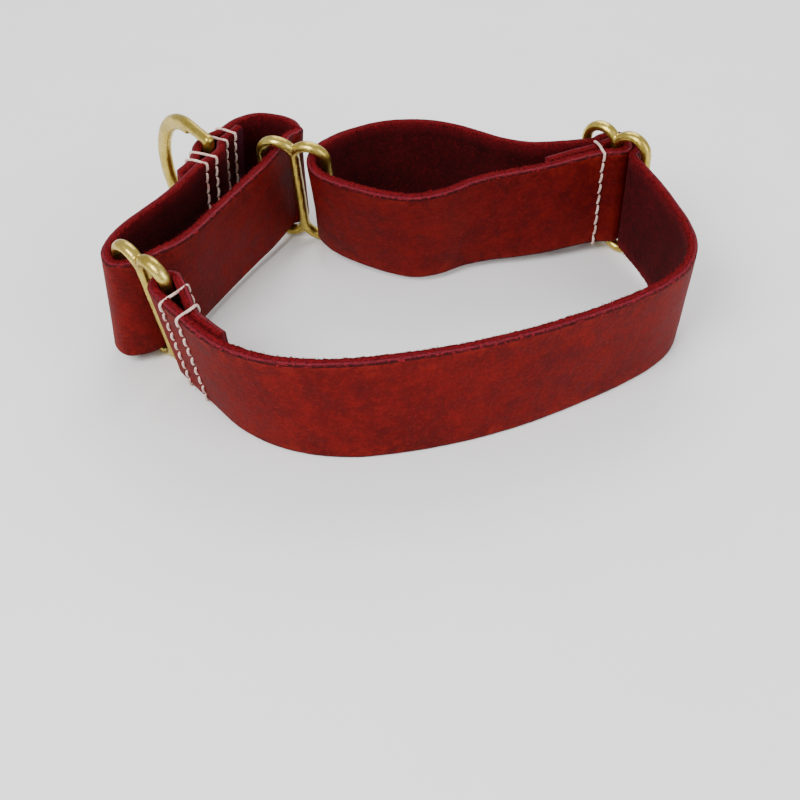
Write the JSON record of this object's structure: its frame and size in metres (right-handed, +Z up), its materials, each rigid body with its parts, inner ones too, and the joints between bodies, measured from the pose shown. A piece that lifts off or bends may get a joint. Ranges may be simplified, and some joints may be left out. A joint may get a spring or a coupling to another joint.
{
  "type": "martingale collar",
  "caption": "Leather martingale dog collar with a control loop, cast brass links, a slide adjuster and a leash ring, standing open on its edge.",
  "frame": {"origin": "middle of the collar's outline, on the surface that it stands on", "axes": "+Z up across the strap's width, +X along the collar's long side towards the slide, -Y towards the front run of the strap"},
  "size_m": [0.1955, 0.1452, 0.05],
  "materials": {
    "leather": "waxed grain outside, raw suede inside",
    "brass": "tumbled satin",
    "thread": "waxed thread"
  },
  "bodies": {
    "strap": {"main_strap": "leather", "fold_stitch_1": "thread", "fold_stitch_2": "thread", "slide_stitch": "thread"},
    "front_link": {"front_link": "brass"},
    "loop": {"control_loop": "leather", "ring_stitch_1": "thread", "ring_stitch_2": "thread", "ring_stitch_3": "thread", "ring_stitch_4": "thread"},
    "rear_link": {"rear_link": "brass"},
    "d_ring": {"d_ring": "brass"},
    "slide": {"slide": "brass"}
  },
  "joints": [
    {"name": "front_link_swing", "type": "hinge", "parent": "strap", "child": "front_link", "pos_m": [-0.07049, -0.03557, 0.02511], "axis": [-0.1471, -0.1275, 0.9809], "range_deg": [-8, 3]},
    {"name": "loop_swing", "type": "hinge", "parent": "front_link", "child": "loop", "pos_m": [-0.08791, -0.01863, 0.02469], "axis": [-0.1471, -0.1275, 0.9809], "range_deg": [-4, 10]},
    {"name": "rear_link_swing", "type": "hinge", "parent": "strap", "child": "rear_link", "pos_m": [-0.0255, 0.03983, 0.0246], "axis": [-0.0482, -0.2604, 0.9643], "range_deg": [-8.5, 3.5]},
    {"name": "ring_swing", "type": "hinge", "parent": "loop", "child": "d_ring", "pos_m": [-0.0692, 0.0433, 0.0237], "axis": [0.026, -0.015, 0.9995], "range_deg": [-36, 90]},
    {"name": "slide_rock", "type": "hinge", "parent": "strap", "child": "slide", "pos_m": [0.0769, 0.0439, 0.025], "axis": [0, 0, 1], "range_deg": [-1.5, 1.5]}
  ],
  "couplings": [
    {"joint": "loop_swing", "follows": "front_link_swing", "ratio": -1.159},
    {"joint": "rear_link_swing", "follows": "front_link_swing", "ratio": 1.01}
  ]
}
